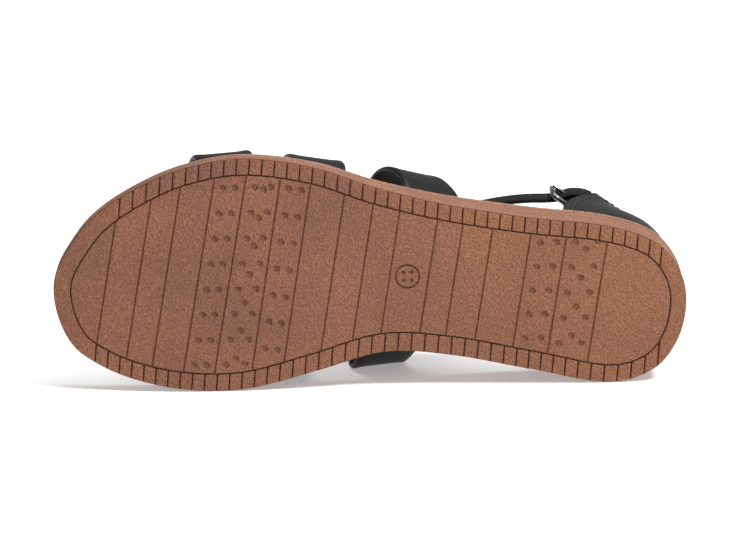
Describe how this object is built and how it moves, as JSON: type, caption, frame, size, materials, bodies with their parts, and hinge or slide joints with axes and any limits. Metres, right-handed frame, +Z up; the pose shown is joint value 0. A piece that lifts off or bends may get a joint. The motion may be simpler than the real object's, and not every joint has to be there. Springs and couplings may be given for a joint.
{
  "type": "gladiator sandal",
  "caption": "Flat left gladiator sandal with a brown moulded rubber sole, wide black straps, a closed heel and a buckled ankle strap, lying on its inner side.",
  "frame": {"origin": "centre of the bounding box, on the floor the sandal lies on", "axes": "+X from the toe to the heel, +Z up through the outer side of the foot, tread facing -Y, foot side +Y"},
  "size_m": [0.24, 0.0876, 0.09],
  "materials": {
    "sole": "moulded, fine grained, satin brown",
    "footbed": "smooth brown synthetic leather",
    "upper": "smooth black synthetic leather, half gloss",
    "buckle": "dark gunmetal plating"
  },
  "bodies": {
    "root": {"outsole": "sole", "footbed": "footbed", "toe_strap": "upper", "vamp_strap": "upper", "instep_strap": "upper", "heel_counter": "upper", "ankle_strap": "upper", "buckle_tab": "upper", "buckle_frame": "buckle", "buckle_prong": "buckle"}
  },
  "joints": []
}
